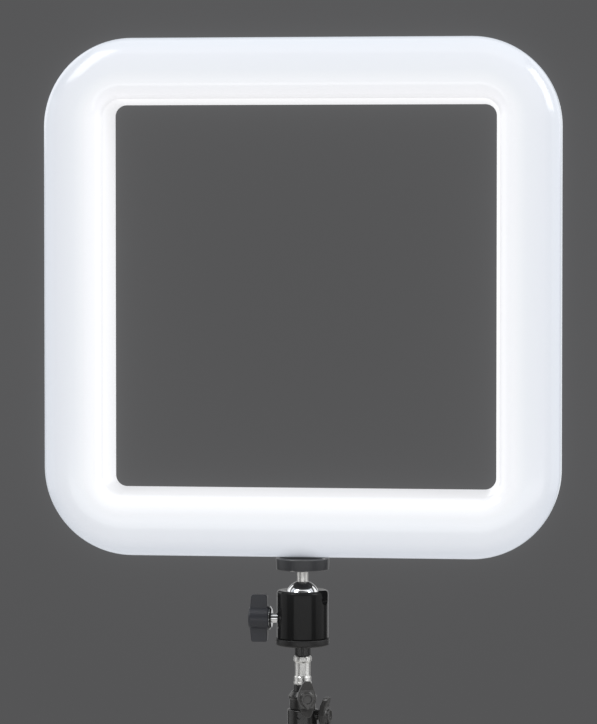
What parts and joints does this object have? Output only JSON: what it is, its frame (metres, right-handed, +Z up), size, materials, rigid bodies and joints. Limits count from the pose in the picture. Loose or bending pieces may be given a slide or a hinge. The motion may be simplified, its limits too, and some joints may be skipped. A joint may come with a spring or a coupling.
{
  "type": "led panel light",
  "caption": "Open square LED light with a glowing rounded frame, on a ball head and a compact telescopic stand with folding legs.",
  "frame": {"origin": "on the floor under the middle of the part's outline; the stand's column stands 67.6 mm in front of it", "axes": "+Z up the column; the light shines towards -Y; the ball head's lock knob points to -X"},
  "size_m": [0.486, 0.4234, 0.87],
  "materials": {
    "milk_diffuser": "translucent milk white, smooth",
    "black_housing": "fine texture",
    "white_reflector": "matt white",
    "led_board": "white solder mask on an aluminium core",
    "driver_board": "green solder mask",
    "knob_plastic": "satin",
    "clamp_plastic": "satin",
    "black_anodised": "black anodised, glossy",
    "black_tube_paint": "black coated tube",
    "chrome_plate": "polished",
    "zinc_steel": "zinc plated",
    "turned_aluminium": "turned, bright",
    "brass": "machined",
    "black_rubber": "matt"
  },
  "bodies": {
    "stand_base": {"outer_tube": "black_tube_paint", "lower_clamp": "clamp_plastic", "base_hub": "clamp_plastic", "column_cap": "clamp_plastic", "leg_pin_1": "zinc_steel", "leg_pin_2": "zinc_steel", "leg_pin_3": "zinc_steel"},
    "middle_section": {"middle_tube": "black_tube_paint", "middle_end_plug": "clamp_plastic", "upper_clamp": "clamp_plastic"},
    "riser_section": {"riser_tube": "black_tube_paint", "riser_end_plug": "clamp_plastic", "spigot": "turned_aluminium", "thread_adapter": "black_anodised", "pan_base": "black_anodised", "pan_retaining_ring": "zinc_steel"},
    "ball_housing": {"ball_cup": "black_anodised", "ball_seat": "brass", "pressure_pad": "brass"},
    "ball_lock": {"lock_knob": "knob_plastic", "lock_screw": "zinc_steel", "lock_washer": "zinc_steel"},
    "ball": {"ball_and_stem": "chrome_plate"},
    "light_head": {"platform_pad": "black_rubber", "platform_disc": "black_anodised", "front_diffuser": "milk_diffuser", "rear_housing": "black_housing", "reflector_tray": "white_reflector", "led_board_top": "led_board", "led_board_bottom": "led_board", "led_board_left": "led_board", "led_board_right": "led_board", "driver_board": "driver_board", "brightness_potentiometer": "zinc_steel", "colour_potentiometer": "zinc_steel", "switch_bezel": "knob_plastic", "power_inlet": "knob_plastic", "tripod_socket": "zinc_steel", "housing_screw_1": "zinc_steel", "housing_screw_2": "zinc_steel", "housing_screw_3": "zinc_steel", "housing_screw_4": "zinc_steel"},
    "brightness_dial": {"brightness_knob": "knob_plastic"},
    "colour_dial": {"colour_knob": "knob_plastic"},
    "power_switch": {"power_rocker": "knob_plastic"},
    "upper_wing": {"upper_clamp_knob": "knob_plastic", "upper_clamp_screw": "zinc_steel"},
    "lower_wing": {"lower_clamp_knob": "knob_plastic", "lower_clamp_screw": "zinc_steel"},
    "leg_1": {"leg_root_1": "clamp_plastic", "leg_tube_1": "black_tube_paint", "foot_1": "black_rubber"},
    "leg_2": {"leg_root_2": "clamp_plastic", "leg_tube_2": "black_tube_paint", "foot_2": "black_rubber"},
    "leg_3": {"leg_root_3": "clamp_plastic", "leg_tube_3": "black_tube_paint", "foot_3": "black_rubber"}
  },
  "joints": [
    {"name": "middle_slide", "type": "slide", "parent": "stand_base", "child": "middle_section", "axis": [0, 0, 1], "range_m": [0, 0.22]},
    {"name": "riser_slide", "type": "slide", "parent": "middle_section", "child": "riser_section", "axis": [0, 0, 1], "range_m": [0, 0.22]},
    {"name": "head_pan", "type": "hinge", "parent": "riser_section", "child": "ball_housing", "pos_m": [0, -0.06759, 0.4642], "axis": [0, 0, 1], "continuous": true},
    {"name": "ball_lock_turn", "type": "hinge", "parent": "ball_housing", "child": "ball_lock", "pos_m": [0, -0.06759, 0.4772], "axis": [-1, 0, 0], "range_deg": [0, 270]},
    {"name": "ball_tilt", "type": "hinge", "parent": "ball_housing", "child": "ball", "pos_m": [0, -0.06759, 0.4912], "axis": [0.3746, 0.9272, 0], "range_deg": [-40, 88]},
    {"name": "ball_spin", "type": "hinge", "parent": "ball", "child": "light_head", "pos_m": [0, -0.06759, 0.4912], "axis": [0, 0, 1], "continuous": true},
    {"name": "brightness_turn", "type": "hinge", "parent": "light_head", "child": "brightness_dial", "pos_m": [0.052, -0.05158, 0.545], "axis": [0, 1, 0], "range_deg": [0, 270]},
    {"name": "colour_turn", "type": "hinge", "parent": "light_head", "child": "colour_dial", "pos_m": [0.082, -0.05158, 0.545], "axis": [0, 1, 0], "range_deg": [0, 270]},
    {"name": "power_rock", "type": "hinge", "parent": "light_head", "child": "power_switch", "pos_m": [-0.052, -0.05158, 0.545], "axis": [1, 0, 0], "range_deg": [0, 16]},
    {"name": "upper_wing_turn", "type": "hinge", "parent": "middle_section", "child": "upper_wing", "pos_m": [0, -0.06759, 0.4245], "axis": [0.2924, -0.9563, 0], "range_deg": [0, 270]},
    {"name": "lower_wing_turn", "type": "hinge", "parent": "stand_base", "child": "lower_wing", "pos_m": [0, -0.06759, 0.4121], "axis": [0.9703, -0.2419, 0], "range_deg": [0, 270]},
    {"name": "leg_1_fold", "type": "hinge", "parent": "stand_base", "child": "leg_1", "pos_m": [0, -0.04759, 0.10864], "axis": [-1, 0, 0], "range_deg": [0, 66]},
    {"name": "leg_2_fold", "type": "hinge", "parent": "stand_base", "child": "leg_2", "pos_m": [-0.01732, -0.07759, 0.10864], "axis": [0.5, -0.866, 0], "range_deg": [0, 66]},
    {"name": "leg_3_fold", "type": "hinge", "parent": "stand_base", "child": "leg_3", "pos_m": [0.01732, -0.07759, 0.10864], "axis": [0.5, 0.866, 0], "range_deg": [0, 66]}
  ]
}
